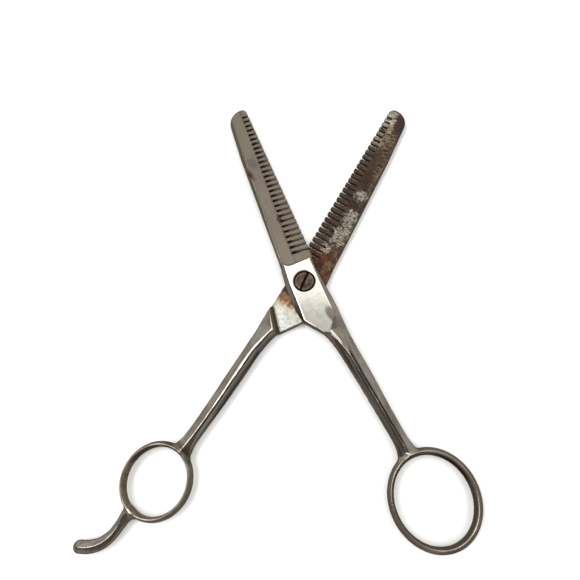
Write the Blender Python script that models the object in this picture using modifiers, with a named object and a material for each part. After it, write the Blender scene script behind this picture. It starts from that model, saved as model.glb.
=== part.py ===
"""Thinning shears: two forged comb halves on one slotted pivot screw.

Each half is modelled in its own frame, in millimetres until the mesh is made: U points to the
toothed side, V from the pivot to the tip, and W from the plane between the halves to the half's
outer face.  The thumb half stands in that frame the right way up.  The finger half is the same
forging turned over about V, with its own bow and a tang.
"""
import math

import bmesh
import bpy
from mathutils import Matrix, Vector

MM = 0.001

# Driving dimensions, in millimetres and degrees.
MID_HEIGHT = 2.75            # plane between the halves, above the face the shears lie on
HALF_RISE = 2.75             # that plane to a half's outer face
FACE_GAP = 0.25              # clearance between the two inner faces
THUMB_ANGLE = 24.25          # blade direction from +Y in the open rest pose
FINGER_ANGLE = -27.95
EDGE_U = 6.1                 # pivot's centre line to the toothed edge
TIP_V = 75.3                 # pivot to blade tip
TIP_CORNER_R = 2.0           # tip's rounding on the toothed side
TIP_SPINE_R = 5.6            # tip's rounding on the spine side
SHOULDER_V = 7.6             # where the thinned comb zone begins

TOOTH_PITCH = 2.165
SLOT_COUNT = 29
SLOT_WIDTH = 0.75
FIRST_SLOT_V = 10.6
ROOT_SLOT_U = -0.1           # inner end of the slot nearest the pivot
TIP_SLOT_U = 3.5             # inner end of the slot nearest the tip
THUMB_SLOT_TILT = -7.0
FINGER_SLOT_TILT = 1.5

RECESS_ROOT_FLOOR = 2.1      # height of the milled recess's floor at the shoulder and at the tip
RECESS_TIP_FLOOR = 1.45

SCREW_HEAD_R = 3.2
SCREW_HEAD_TOP = 5.65
SCREW_HEAD_UNDERSIDE = 4.3
SCREW_SHANK_R = 2.0
SCREW_SLOT_WIDTH = 0.75
SCREW_SLOT_DEPTH = 0.7
SCREW_SLOT_ANGLE = 68.8
COUNTERBORE_R = 3.52
COUNTERBORE_FLOOR = 1.35
BORE_R = 2.1

ROUND_SEGMENTS = 48
CUT_REACH = 4.0              # how far cutters reach above and below the plane between the halves

# Sections of each blade and ricasso, from the tip to the shank:
# v, left side, left edge of the flat, right edge of the flat, right side, flat height, bevel foot
THUMB_BLADE = [
    (77.0, -1.2, 0.0, 6.1, 6.1, 1.45, 0.8),
    (54.0, -3.25, -1.9, 6.1, 6.1, 1.74, 1.0),
    (20.0, -4.9, -3.7, 6.1, 6.1, 2.6, 1.4),
    (10.5, -5.35, -4.2, 6.1, 6.1, HALF_RISE, 1.5),
    (SHOULDER_V, -5.6, -4.4, 6.1, 6.1, HALF_RISE, 1.5),
    (6.6, -5.8, -4.5, 4.85, 5.9, HALF_RISE, 1.5),
    (1.5, -6.4, -4.9, 4.8, 5.85, HALF_RISE, 1.5),
    (-3.5, -6.5, -4.9, 4.8, 5.9, HALF_RISE, 1.5),
    (-8.0, -6.5, -5.0, 4.8, 6.35, HALF_RISE, 1.5),
    (-12.4, -5.9, -5.3, 4.8, 6.5, HALF_RISE, 1.5),
    (-15.1, -3.9, -3.5, 4.2, 6.5, HALF_RISE, 1.5),
    (-16.8, -2.6, -2.2, 3.0, 6.5, HALF_RISE, 1.5),
    (-18.8, -1.1, -0.9, 1.4, 6.5, HALF_RISE, 1.5),
]
FINGER_BLADE = [
    (77.0, -1.3, -0.1, 6.1, 6.1, 1.45, 0.8),
    (54.0, -3.4, -2.1, 6.1, 6.1, 1.74, 1.0),
    (20.0, -5.25, -4.0, 6.1, 6.1, 2.6, 1.4),
    (10.5, -5.7, -4.4, 6.1, 6.1, HALF_RISE, 1.5),
    (SHOULDER_V, -5.9, -4.6, 6.1, 6.1, HALF_RISE, 1.5),
    (6.6, -6.1, -4.7, 4.85, 5.9, HALF_RISE, 1.5),
    (1.5, -6.5, -4.9, 4.8, 5.85, HALF_RISE, 1.5),
    (-3.5, -6.5, -4.9, 4.8, 5.8, HALF_RISE, 1.5),
    (-8.0, -6.5, -5.0, 4.8, 5.9, HALF_RISE, 1.5),
    (-12.4, -5.9, -5.3, 4.8, 5.95, HALF_RISE, 1.5),
    (-15.1, -3.9, -3.5, 4.2, 5.95, HALF_RISE, 1.5),
    (-16.8, -2.6, -2.2, 3.0, 5.95, HALF_RISE, 1.5),
    (-18.8, -1.1, -0.9, 1.4, 5.95, HALF_RISE, 1.5),
]

# Sections of each shank, whose top and bottom are a ridge: v, left, ridge, right, height, ridge foot
THUMB_SHANK = [
    (-20.0, -0.4, 1.7, 6.5, 2.72, 1.4),
    (-23.0, 0.45, 2.7, 6.6, 2.7, 1.3),
    (-27.7, 1.3, 4.1, 7.0, 2.65, 1.2),
    (-36.5, 2.5, 5.2, 7.8, 2.55, 1.1),
    (-47.0, 3.75, 6.1, 8.45, 2.5, 1.0),
    (-56.9, 4.9, 7.1, 9.25, 2.45, 1.0),
    (-60.4, 5.0, 7.5, 9.9, 2.4, 1.0),
    (-63.0, 3.6, 7.6, 11.2, 2.2, 0.9),
]
FINGER_SHANK = [
    (-20.0, -0.2, 1.3, 5.95, 2.72, 1.4),
    (-23.0, 0.6, 2.0, 5.95, 2.7, 1.3),
    (-27.7, 1.4, 3.2, 6.2, 2.65, 1.2),
    (-36.5, 1.8, 3.8, 6.7, 2.55, 1.1),
    (-47.0, 2.6, 4.4, 7.2, 2.5, 1.0),
    (-57.0, 3.6, 5.2, 7.8, 2.45, 1.0),
    (-62.8, 4.2, 6.0, 8.4, 2.4, 1.0),
    (-66.2, 3.3, 6.6, 10.2, 2.2, 0.9),
]
RIDGE_FLAT = 0.3             # width of the ridge's crest

# Bows: centre u, centre v, inner half-width, inner half-length, tilt, band, outer side's shift in u
THUMB_BOW = (8.6, -75.8, 10.85, 12.25, -2.1, 2.35, 0.27)
FINGER_BOW = (8.5, -77.2, 9.55, 10.25, 6.0, 1.95, 0.1)
# Half of a bow's section, from the middle of its outer side to the middle of its inner wall:
# distance out from the inner wall in bands, height
BOW_PROFILE = [(1.0, 0.0), (0.9, 1.2), (0.62, 2.15), (0.45, 2.55), (0.06, 1.7), (0.0, 0.0)]

# Tang of the finger half: u, v, radius
TANG_PATH = [
    (10.4, -88.2, 2.4),
    (11.0, -90.3, 1.9),
    (11.2, -93.2, 1.65),
    (11.7, -96.8, 1.7),
    (13.2, -100.2, 1.85),
    (15.7, -102.8, 1.95),
    (18.4, -104.4, 2.0),
]
TANG_END_R = 2.0
TANG_HEIGHT_RATIO = 1.1      # the tang is a little taller than it is wide


# Scene helpers

def clear_scene():
    for obj in list(bpy.data.objects):
        bpy.data.objects.remove(obj, do_unlink=True)


def new_collection(name):
    collection = bpy.data.collections.new(name)
    bpy.context.scene.collection.children.link(collection)
    return collection


def steel(name, color, roughness):
    material = bpy.data.materials.new(name)
    material.use_nodes = True
    shader = material.node_tree.nodes["Principled BSDF"]
    shader.inputs["Base Color"].default_value = (*color, 1.0)
    shader.inputs["Roughness"].default_value = roughness
    shader.inputs["Metallic"].default_value = 1.0
    return material


def mesh_object(name, bm, collection):
    bmesh.ops.recalc_face_normals(bm, faces=bm.faces)
    mesh = bpy.data.meshes.new(name)
    bm.to_mesh(mesh)
    bm.free()
    obj = bpy.data.objects.new(name, mesh)
    collection.objects.link(obj)
    return obj


def curve_to_mesh(curve_object, collection):
    """Replace a curve object by the closed mesh it draws."""
    depsgraph = bpy.context.evaluated_depsgraph_get()
    mesh = bpy.data.meshes.new_from_object(curve_object.evaluated_get(depsgraph))
    bm = bmesh.new()
    bm.from_mesh(mesh)
    bmesh.ops.remove_doubles(bm, verts=bm.verts, dist=0.00001)
    solid = mesh_object(curve_object.name + "_solid", bm, collection)
    solid.matrix_world = curve_object.matrix_world.copy()
    bpy.data.objects.remove(curve_object, do_unlink=True)
    bpy.data.meshes.remove(mesh)
    return solid


def boolean(target, operation, tool):
    """Join or cut with another object, which then stays out of renders."""
    modifier = target.modifiers.new(operation.lower() + "_" + tool.name, "BOOLEAN")
    modifier.operation = operation
    modifier.solver = "EXACT"
    modifier.object = tool
    tool.hide_render = True
    tool.display_type = "WIRE"


# Shape helpers

def half_section(left, flat_left, flat_right, right, height, foot):
    """Eight points around one section: a flat or ridge above, and the same below."""
    return [
        (left, -foot), (flat_left, -height), (flat_right, -height), (right, -foot),
        (right, foot), (flat_right, height), (flat_left, height), (left, foot),
    ]


def loft(name, sections, collection):
    """Join sections of eight points, each at its own v, into one closed solid."""
    bm = bmesh.new()
    rings = []
    for v, points in sections:
        rings.append([bm.verts.new((u * MM, v * MM, w * MM)) for u, w in points])
    for upper, lower in zip(rings, rings[1:]):
        for i in range(len(upper)):
            j = (i + 1) % len(upper)
            bm.faces.new((upper[i], upper[j], lower[j], lower[i]))
    bm.faces.new(rings[0])
    bm.faces.new(list(reversed(rings[-1])))
    return mesh_object(name, bm, collection)


def arc(center_u, center_v, radius, start, end, steps):
    """Points of an arc, with its angles in degrees from +U."""
    points = []
    for i in range(steps + 1):
        angle = math.radians(start + (end - start) * i / steps)
        points.append((center_u + radius * math.cos(angle), center_v + radius * math.sin(angle)))
    return points


def prism(name, outline, floor, top, collection):
    """A flat outline extruded along W up to a level top, from a floor given as a function of v."""
    curve = bpy.data.curves.new(name, "CURVE")
    curve.dimensions = "2D"
    curve.fill_mode = "BOTH"
    curve.extrude = 0.5 * MM
    spline = curve.splines.new("POLY")
    spline.points.add(len(outline) - 1)
    for point, (u, v) in zip(spline.points, outline):
        point.co = (u * MM, v * MM, 0.0, 1.0)
    spline.use_cyclic_u = True
    drawn = bpy.data.objects.new(name, curve)
    collection.objects.link(drawn)
    bpy.context.view_layer.update()
    solid = curve_to_mesh(drawn, collection)
    for vertex in solid.data.vertices:
        if vertex.co.z > 0.0:
            vertex.co.z = top * MM
        else:
            vertex.co.z = floor(vertex.co.y / MM) * MM
    return solid


def cylinder(name, radius, low, high, collection):
    bm = bmesh.new()
    bmesh.ops.create_cone(
        bm, cap_ends=True, segments=ROUND_SEGMENTS, radius1=radius * MM, radius2=radius * MM,
        depth=(high - low) * MM, matrix=Matrix.Translation((0.0, 0.0, (low + high) / 2 * MM)))
    return mesh_object(name, bm, collection)


# Cutters, all in a half's own frame

def tip_cutter(prefix, collection):
    """What is left outside the blade's round tip."""
    top_u = EDGE_U - TIP_CORNER_R
    corner_arc = arc(top_u, TIP_V - TIP_CORNER_R, TIP_CORNER_R, 0.0, 90.0, 6)
    spine_arc = arc(top_u, TIP_V - TIP_SPINE_R, TIP_SPINE_R, 90.0, 180.0, 9)[1:]
    outline = corner_arc + spine_arc
    outline += [(-8.0, 68.0), (-8.0, 82.0), (12.0, 82.0), (12.0, TIP_V - TIP_CORNER_R)]
    return prism(prefix + "_tip_cutter", outline, lambda v: -CUT_REACH, CUT_REACH, collection)


def recess_cutter(prefix, collection):
    """The milled recess of the comb zone, with a round corner at the spine."""
    def floor(v):
        slope = (RECESS_TIP_FLOOR - RECESS_ROOT_FLOOR) / (TIP_V - SHOULDER_V)
        return RECESS_ROOT_FLOOR + slope * (v - SHOULDER_V)

    outline = [(9.0, SHOULDER_V - 0.3)]
    outline += arc(-1.7, SHOULDER_V + 3.1, 2.7, 270.0, 175.0, 6)
    outline += [(-3.95, 20.4), (-3.35, 28.7), (-2.3, 42.0), (-1.4, 54.0), (0.6, 68.0), (4.5, 78.0)]
    outline += [(9.0, 78.0)]
    return prism(prefix + "_recess_cutter", outline, floor, CUT_REACH, collection)


def slot_cutter(prefix, tilt, collection):
    """All the comb's slots, deep at the root and short at the tip."""
    bm = bmesh.new()
    outer_u = EDGE_U + 2.0
    for i in range(SLOT_COUNT):
        inner_u = ROOT_SLOT_U + (TIP_SLOT_U - ROOT_SLOT_U) * i / (SLOT_COUNT - 1)
        length = outer_u - inner_u
        place = Matrix.Translation(Vector((EDGE_U, FIRST_SLOT_V + TOOTH_PITCH * i, 0.0)) * MM)
        turn = Matrix.Rotation(math.radians(tilt), 4, "Z")
        shift = Matrix.Translation(Vector(((inner_u + outer_u) / 2 - EDGE_U, 0.0, 0.0)) * MM)
        size = Matrix.Diagonal((length * MM, SLOT_WIDTH * MM, 2 * CUT_REACH * MM, 1.0))
        bmesh.ops.create_cube(bm, size=1.0, matrix=place @ turn @ shift @ size)
    return mesh_object(prefix + "_slot_cutter", bm, collection)


def step_cutter(prefix, collection):
    """Clears the other half's side of the pivot: everything under the inner face, down to a
    sloping shoulder across the top of the shank."""
    inner = FACE_GAP / 2
    slope_run = 1.9
    start = Vector((5.7, -11.9, 0.0))
    end = Vector((-0.5, -18.3, 0.0))
    along = (end - start).normalized()
    up = Vector((-along.y, along.x, 0.0))
    if up.y < 0.0:
        up = -up
    above = 110.0
    half_length = 90.0
    profile = [(0.0, inner), (-slope_run, -CUT_REACH), (above, -CUT_REACH), (above, inner)]
    middle = (start + end) / 2
    bm = bmesh.new()
    ends = []
    for side in (-half_length, half_length):
        ring = [(middle + along * side + up * across + Vector((0.0, 0.0, w))) * MM
                for across, w in profile]
        ends.append([bm.verts.new(point) for point in ring])
    for i in range(4):
        j = (i + 1) % 4
        bm.faces.new((ends[0][i], ends[0][j], ends[1][j], ends[1][i]))
    bm.faces.new(ends[0])
    bm.faces.new(list(reversed(ends[1])))
    return mesh_object(prefix + "_step_cutter", bm, collection)


# Sub-parts

def bow(prefix, place, collection):
    """An oval ring: a straight inner wall, a crest near it and a round outer side."""
    center_u, center_v, half_width, half_length, tilt, band, shift = place
    below = [(out, -height) for out, height in reversed(BOW_PROFILE[1:-1])]
    profile = BOW_PROFILE[:-1] + below
    turn = Matrix.Rotation(math.radians(tilt), 2)
    bm = bmesh.new()
    rings = []
    for step in range(ROUND_SEGMENTS):
        angle = 2 * math.pi * step / ROUND_SEGMENTS
        wall = Vector((half_width * math.cos(angle), half_length * math.sin(angle)))
        outward = Vector((wall.x / half_width ** 2, wall.y / half_length ** 2)).normalized()
        reach = outward * band + Vector((shift, 0.0))
        ring = []
        for out, height in profile:
            u, v = turn @ (wall + reach * out)
            ring.append(bm.verts.new(((center_u + u) * MM, (center_v + v) * MM, height * MM)))
        rings.append(ring)
    for this, following in zip(rings, rings[1:] + rings[:1]):
        for i in range(len(profile)):
            j = (i + 1) % len(profile)
            bm.faces.new((this[i], this[j], following[j], following[i]))
    return mesh_object(prefix + "_bow", bm, collection)


def tang(prefix, collection):
    """The finger rest: a tapered curved rod with a round end."""
    points = list(TANG_PATH)
    last = Vector(points[-1][:2])
    direction = (last - Vector(points[-2][:2])).normalized()
    for degrees in (30.0, 55.0, 75.0, 88.0):
        reach = TANG_END_R * math.sin(math.radians(degrees))
        radius = TANG_END_R * math.cos(math.radians(degrees))
        points.append((*(last + direction * reach), radius))
    curve = bpy.data.curves.new(prefix + "_tang", "CURVE")
    curve.dimensions = "3D"
    curve.bevel_depth = 1.0 * MM
    curve.bevel_resolution = 3
    curve.use_fill_caps = True
    spline = curve.splines.new("POLY")
    spline.points.add(len(points) - 1)
    for point, (u, v, radius) in zip(spline.points, points):
        point.co = (u * MM, v * MM, 0.0, 1.0)
        point.radius = radius
    drawn = bpy.data.objects.new(prefix + "_tang", curve)
    collection.objects.link(drawn)
    bpy.context.view_layer.update()
    rod = curve_to_mesh(drawn, collection)
    rod.data.transform(Matrix.Diagonal((1.0, 1.0, TANG_HEIGHT_RATIO, 1.0)))
    return rod


def forged_half(name, blade, shank, bow_place, slot_tilt, collection, cutters):
    """Blade, ricasso and shank as one loft, joined to its bow and cut by its own cutters."""
    sections = []
    for v, left, flat_left, flat_right, right, height, foot in blade:
        sections.append((v, half_section(left, flat_left, flat_right, right, height, foot)))
    for v, left, ridge, right, height, foot in shank:
        crest = RIDGE_FLAT / 2
        sections.append((v, half_section(left, ridge - crest, ridge + crest, right, height, foot)))
    half = loft(name, sections, collection)
    boolean(half, "UNION", bow(name, bow_place, cutters))
    boolean(half, "DIFFERENCE", step_cutter(name, cutters))
    boolean(half, "DIFFERENCE", tip_cutter(name, cutters))
    boolean(half, "DIFFERENCE", recess_cutter(name, cutters))
    boolean(half, "DIFFERENCE", slot_cutter(name, slot_tilt, cutters))
    boolean(half, "DIFFERENCE", cylinder(name + "_bore_cutter", BORE_R, -CUT_REACH, CUT_REACH, cutters))
    return half


def pivot_screw(collection, cutters):
    """A slotted cheese-head screw, turned about Z, with its end flush with the resting plane."""
    chamfer = 0.35
    profile = [
        (0.0, SCREW_HEAD_TOP), (SCREW_HEAD_R - chamfer, SCREW_HEAD_TOP),
        (SCREW_HEAD_R, SCREW_HEAD_TOP - chamfer), (SCREW_HEAD_R, SCREW_HEAD_UNDERSIDE),
        (SCREW_SHANK_R, SCREW_HEAD_UNDERSIDE), (SCREW_SHANK_R, 0.2), (SCREW_SHANK_R - 0.2, 0.0),
        (0.0, 0.0),
    ]
    bm = bmesh.new()
    verts = [bm.verts.new((x * MM, 0.0, z * MM)) for x, z in profile]
    for first, second in zip(verts, verts[1:]):
        bm.edges.new((first, second))
    mesh = bpy.data.meshes.new("pivot_screw")
    bm.to_mesh(mesh)
    bm.free()
    screw = bpy.data.objects.new("pivot_screw", mesh)
    collection.objects.link(screw)
    turned = screw.modifiers.new("turned", "SCREW")
    turned.axis = "Z"
    turned.steps = ROUND_SEGMENTS
    turned.render_steps = ROUND_SEGMENTS
    turned.use_merge_vertices = True
    turned.merge_threshold = 0.00001

    bm = bmesh.new()
    size = Matrix.Diagonal((10.0 * MM, SCREW_SLOT_WIDTH * MM, 2 * SCREW_SLOT_DEPTH * MM, 1.0))
    turn = Matrix.Rotation(math.radians(SCREW_SLOT_ANGLE), 4, "Z")
    rise = Matrix.Translation((0.0, 0.0, SCREW_HEAD_TOP * MM))
    bmesh.ops.create_cube(bm, size=1.0, matrix=rise @ turn @ size)
    boolean(screw, "DIFFERENCE", mesh_object("driver_slot_cutter", bm, cutters))
    return screw


def pose_half(obj, cutters, name, angle, turned_over, collection):
    """Hang a half and its cutters on an empty that stands on the pivot axis."""
    carrier = bpy.data.objects.new(name + "_pivot", None)
    collection.objects.link(carrier)
    carrier.location = (0.0, 0.0, MID_HEIGHT * MM)
    flip = math.pi if turned_over else 0.0
    carrier.rotation_euler = (0.0, flip, math.radians(angle))
    for member in [obj] + [cutter for cutter in cutters.objects if cutter.name.startswith(name)]:
        member.parent = carrier


def build():
    clear_scene()
    parts = new_collection("thinning_shears")
    cutters = new_collection("thinning_shears_cutters")

    thumb = forged_half("thumb_half", THUMB_BLADE, THUMB_SHANK, THUMB_BOW, THUMB_SLOT_TILT,
                        parts, cutters)
    counterbore = cylinder("thumb_half_counterbore", COUNTERBORE_R, COUNTERBORE_FLOOR, CUT_REACH,
                           cutters)
    boolean(thumb, "DIFFERENCE", counterbore)
    finger = forged_half("finger_half", FINGER_BLADE, FINGER_SHANK, FINGER_BOW, FINGER_SLOT_TILT,
                         parts, cutters)
    boolean(finger, "UNION", tang("finger_half", cutters))
    screw = pivot_screw(parts, cutters)

    pose_half(thumb, cutters, "thumb_half", THUMB_ANGLE, False, parts)
    pose_half(finger, cutters, "finger_half", FINGER_ANGLE, True, parts)

    thumb.data.materials.append(steel("plated_steel", (0.55, 0.52, 0.48), 0.3))
    finger.data.materials.append(steel("rusted_steel", (0.32, 0.24, 0.19), 0.5))
    screw.data.materials.append(steel("screw_steel", (0.2, 0.15, 0.11), 0.5))


build()
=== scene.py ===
import math

import bpy
import numpy as np
from mathutils import Matrix, Vector


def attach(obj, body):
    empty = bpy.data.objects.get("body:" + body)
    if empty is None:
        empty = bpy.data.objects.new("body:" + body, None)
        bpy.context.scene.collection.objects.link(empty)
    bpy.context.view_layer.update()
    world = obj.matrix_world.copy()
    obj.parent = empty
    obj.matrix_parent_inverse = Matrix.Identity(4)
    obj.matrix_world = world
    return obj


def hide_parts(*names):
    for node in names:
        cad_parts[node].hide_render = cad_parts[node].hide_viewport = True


# Looks of the thinning shears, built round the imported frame.
#
# Each half is carved as a field of distances in its own frame, in millimetres: U points to the
# toothed side, V from the pivot to the tip, and W from the plane between the halves to the half's
# outer face.  The field is negative inside the steel.  A net of small faces is then drawn where it
# is zero, so every edge is slightly rounded and every joint has its fillet, as on a real forging.

MM = 0.001

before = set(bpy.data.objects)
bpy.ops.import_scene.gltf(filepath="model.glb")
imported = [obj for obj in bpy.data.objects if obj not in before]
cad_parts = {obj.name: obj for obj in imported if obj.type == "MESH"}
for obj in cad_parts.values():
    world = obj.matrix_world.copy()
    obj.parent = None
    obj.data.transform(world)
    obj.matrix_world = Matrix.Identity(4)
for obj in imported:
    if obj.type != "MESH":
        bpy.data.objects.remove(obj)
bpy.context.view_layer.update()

# Shape of the halves, in millimetres and degrees
MID_HEIGHT = 2.75            # plane between the halves, above the floor
HALF_RISE = 2.75             # that plane to a half's outer face
INNER_W = 0.125              # a half's inner face
THUMB_ANGLE = 24.25
FINGER_ANGLE = -27.95
EDGE_U = 6.1
TIP_V = 75.3
TIP_CORNER_R = 2.0
TIP_SPINE_R = 5.6
SHOULDER_V = 7.3
RECESS_CORNER_R = 2.7
RECESS_FLOOR = 2.1           # at the shoulder
RECESS_FALL = 0.0096         # its fall for each millimetre towards the tip
# The recess's side along the spine: v, u
RECESS_RIM = [
    (10.7, -4.4), (20.4, -3.95), (28.7, -3.35), (42.0, -2.3), (54.0, -1.4), (68.0, 0.6), (78.0, 4.5),
]

TOOTH_PITCH = 2.165
SLOT_COUNT = 29
SLOT_WIDTH = 0.75
THUMB_SLOT_TILT = -7.0
FINGER_SLOT_TILT = 1.5
FIRST_SLOT_V = 10.6
ROOT_SLOT_U = -0.1
TIP_SLOT_U = 3.5

BORE_R = 2.1
COUNTERBORE_R = 3.52
COUNTERBORE_FLOOR = 1.35
STEP_START = (5.7, -11.9)    # line where the shank's shoulder leaves the inner face
STEP_END = (-0.5, -18.3)
STEP_RUN = 1.9
STEP_FALL = 4.125

# Sections: v, left, left edge of the flat or ridge, right edge, right, height, foot of the bevel
THUMB_SECTIONS = [
    (77.0, -1.2, 0.0, 6.1, 6.1, 1.45, 0.8),
    (54.0, -3.25, -1.9, 6.1, 6.1, 1.74, 1.0),
    (20.0, -4.9, -3.7, 6.1, 6.1, 2.6, 1.4),
    (10.5, -5.35, -4.2, 6.1, 6.1, HALF_RISE, 1.5),
    (7.6, -5.6, -4.4, 6.1, 6.1, HALF_RISE, 1.5),
    (6.6, -5.8, -4.5, 4.85, 5.9, HALF_RISE, 1.5),
    (1.5, -6.4, -4.9, 4.8, 5.85, HALF_RISE, 1.5),
    (-3.5, -6.5, -4.9, 4.8, 5.9, HALF_RISE, 1.5),
    (-8.0, -6.5, -5.0, 4.8, 6.35, HALF_RISE, 1.5),
    (-12.4, -5.9, -5.3, 4.8, 6.5, HALF_RISE, 1.5),
    (-15.1, -3.9, -3.5, 4.2, 6.5, HALF_RISE, 1.5),
    (-16.8, -2.6, -2.2, 3.0, 6.5, HALF_RISE, 1.5),
    (-18.8, -1.1, -0.9, 1.4, 6.5, HALF_RISE, 1.5),
    (-20.0, -0.4, 0.95, 1.85, 6.5, 2.72, 1.4),
    (-23.0, 0.45, 2.3, 2.85, 6.6, 2.7, 1.3),
    (-27.7, 1.3, 3.95, 4.25, 7.0, 2.65, 1.2),
    (-36.5, 2.5, 5.05, 5.35, 7.8, 2.55, 1.1),
    (-47.0, 3.75, 5.95, 6.25, 8.45, 2.5, 1.0),
    (-56.9, 4.9, 6.95, 7.25, 9.25, 2.45, 1.0),
    (-60.4, 5.0, 7.35, 7.65, 9.9, 2.4, 1.0),
    (-63.0, 3.6, 7.45, 7.75, 11.2, 2.2, 0.9),
]
FINGER_SECTIONS = [
    (77.0, -1.3, -0.1, 6.1, 6.1, 1.45, 0.8),
    (54.0, -3.4, -2.1, 6.1, 6.1, 1.74, 1.0),
    (20.0, -5.25, -4.0, 6.1, 6.1, 2.6, 1.4),
    (10.5, -5.7, -4.4, 6.1, 6.1, HALF_RISE, 1.5),
    (7.6, -5.9, -4.6, 6.1, 6.1, HALF_RISE, 1.5),
    (6.6, -6.1, -4.7, 4.85, 5.9, HALF_RISE, 1.5),
    (1.5, -6.5, -4.9, 4.8, 5.85, HALF_RISE, 1.5),
    (-3.5, -6.5, -4.9, 4.8, 5.8, HALF_RISE, 1.5),
    (-8.0, -6.5, -5.0, 4.8, 5.9, HALF_RISE, 1.5),
    (-12.4, -5.9, -5.3, 4.8, 5.95, HALF_RISE, 1.5),
    (-15.1, -3.9, -3.5, 4.2, 5.95, HALF_RISE, 1.5),
    (-16.8, -2.6, -2.2, 3.0, 5.95, HALF_RISE, 1.5),
    (-18.8, -1.1, -0.9, 1.4, 5.95, HALF_RISE, 1.5),
    (-20.0, -0.2, 1.0, 1.6, 5.95, 2.72, 1.4),
    (-23.0, 0.6, 1.6, 2.6, 5.95, 2.7, 1.3),
    (-27.7, 1.4, 2.75, 3.8, 6.2, 2.65, 1.2),
    (-36.5, 1.8, 3.4, 4.4, 6.7, 2.55, 1.1),
    (-47.0, 2.6, 4.0, 4.85, 7.2, 2.5, 1.0),
    (-57.0, 3.6, 4.85, 5.55, 7.8, 2.45, 1.0),
    (-62.8, 4.2, 5.65, 6.35, 8.4, 2.4, 1.0),
    (-66.2, 3.3, 6.25, 6.95, 10.2, 2.2, 0.9),
]
SHANK_CAMBER = 0.13          # how much the shank's facets swell
CAMBER_V = (-19.0, -25.0)    # where they begin to, and where they do in full
SMOOTH_SHANK_V = (-23.0, -27.0)   # the shank's sides are smoothed below this stretch
SMOOTH_LENGTH = 1.6
SMOOTH_REACH = 5.0
SECTION_STEP = 0.1           # how finely the section tables are drawn out

# Bows: centre u, centre v, inner half-width, inner half-length, tilt, band, outer side's shift in u
THUMB_BOW = (8.6, -75.8, 10.85, 12.25, -2.1, 2.35, 0.27)
FINGER_BOW = (8.5, -77.2, 9.55, 10.25, 6.0, 1.95, 0.1)
# A bow's section from its outer side over the crest to its inner side: share of the band, height
BOW_OUTER = (1.0, 0.0)
BOW_SHOULDER = (0.9, 1.2)
BOW_CREST = (0.45, 2.65)
BOW_WALL_TOP = (0.06, 1.7)
BOW_WALL = (0.0, 0.0)
BOW_TOP = 2.55               # the bows' crests are ground down to this
BOW_TOP_V = (-50.0, -56.0)   # the stretch where the limit sinks to that
BOW_TOP_R = 0.1
ABOVE_SHANK = 2.95           # the limit above the shank, which it doesn't touch
BOW_OUTER_R = 0.8            # roundings of the outer side, the inner side and the crest
BOW_INNER_R = 0.5
BOW_CREST_R = 0.28
BOW_FILLET_R = 0.9           # between bow and shank

# Tang: u, v, half-width
TANG_PATH = [
    (10.4, -88.2, 2.4), (11.0, -90.3, 1.9), (11.2, -93.2, 1.65), (11.7, -96.8, 1.7),
    (13.2, -100.2, 1.85), (15.7, -102.8, 1.95), (18.4, -104.4, 2.0),
]
TANG_POINTS = 30             # points drawn between two of the above
TANG_EDGE = 0.4              # height of its side, as a share of the half-width
TANG_SLOPE = 0.7             # how steeply its facets rise to the ridge
TANG_RIDGE_R = 0.22
TANG_FLAT = 0.24             # how much of the ridge is worn off
TANG_FLAT_R = 0.08
TANG_SIDE_R = 0.6
TANG_FILLET_R = 1.1          # between tang and bow

# Roundings of the other edges
BEVEL_R = 0.12
OUTLINE_R = 0.2
SHOULDER_ROOT_R = 0.3
SHOULDER_EDGE_R = 0.15
RECESS_ROOT_R = 0.35
RECESS_EDGE_R = 0.2
SLOT_EDGE_R = 0.08
BORE_EDGE_R = 0.1
COUNTERBORE_EDGE_R = 0.14

SCREW_HEAD_R = 3.2
SCREW_HEAD_TOP = 5.65
SCREW_HEAD_UNDERSIDE = 4.3
SCREW_SHANK_R = 2.0
SCREW_SLOT_WIDTH = 0.8
SCREW_SLOT_DEPTH = 0.7
SCREW_SLOT_ANGLE = 68.8
SCREW_CROWN = 0.10           # how much lower the head's edge is than its middle
SCREW_HEAD_EDGE_R = 0.4
SCREW_SHANK_EDGE_R = 0.2
SCREW_NECK_R = 0.15
SCREW_SLOT_ROOT_R = 0.15
SCREW_SLOT_EDGE_R = 0.12
SCREW_OVERLAP = 0.4          # how far the shank reaches into the head

HALF_STEP = 0.23             # size of the net's cells
SCREW_STEP = 0.09
# Boxes that hold the pieces with room to spare: lowest corner, highest corner
THUMB_BOX = ((-8.0, -92.0, -3.2), (24.5, 77.0, 3.2))
FINGER_BOX = ((-8.0, -108.0, -3.2), (24.5, 77.0, 3.2))
SCREW_BOX = ((-3.5, -3.5, -0.4), (3.5, 3.5, 6.0))

# Floor, lights and camera, in metres and watts
FLOOR_REACH = 1.5
FLOOR_LEVEL = -0.2 * MM
FLOOR_COLOR = (0.93, 0.93, 0.925, 1.0)
FLOOR_ROUGHNESS = 0.9
# Soft boxes that face straight down: name, place, size, power, whether steel mirrors it
SOFT_BOXES = [
    ("rear_soft_box", (-0.08, 0.502, 0.8), (0.6, 0.5), 1.12, True),
    ("middle_soft_box", (0.004, 0.198, 0.8), (0.312, 0.108), 0.037, True),
    ("left_soft_box", (-0.256, 0.12, 0.8), (0.208, 0.24), 0.8, True),
    ("far_left_soft_box", (-0.38, -0.13, 0.8), (0.16, 0.22), 0.33, True),
    ("near_left_soft_box", (-0.232, -0.08, 0.8), (0.136, 0.16), 0.14, True),
    ("left_fill_light", (-0.7, -0.2, 0.9), (1.0, 1.0), 11.0, False),
    ("right_fill_light", (0.7, -0.2, 0.9), (1.0, 1.0), 11.0, False),
]
FRONT_WALL = (0.13, 0.12, 0.112, 1.0)
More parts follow.
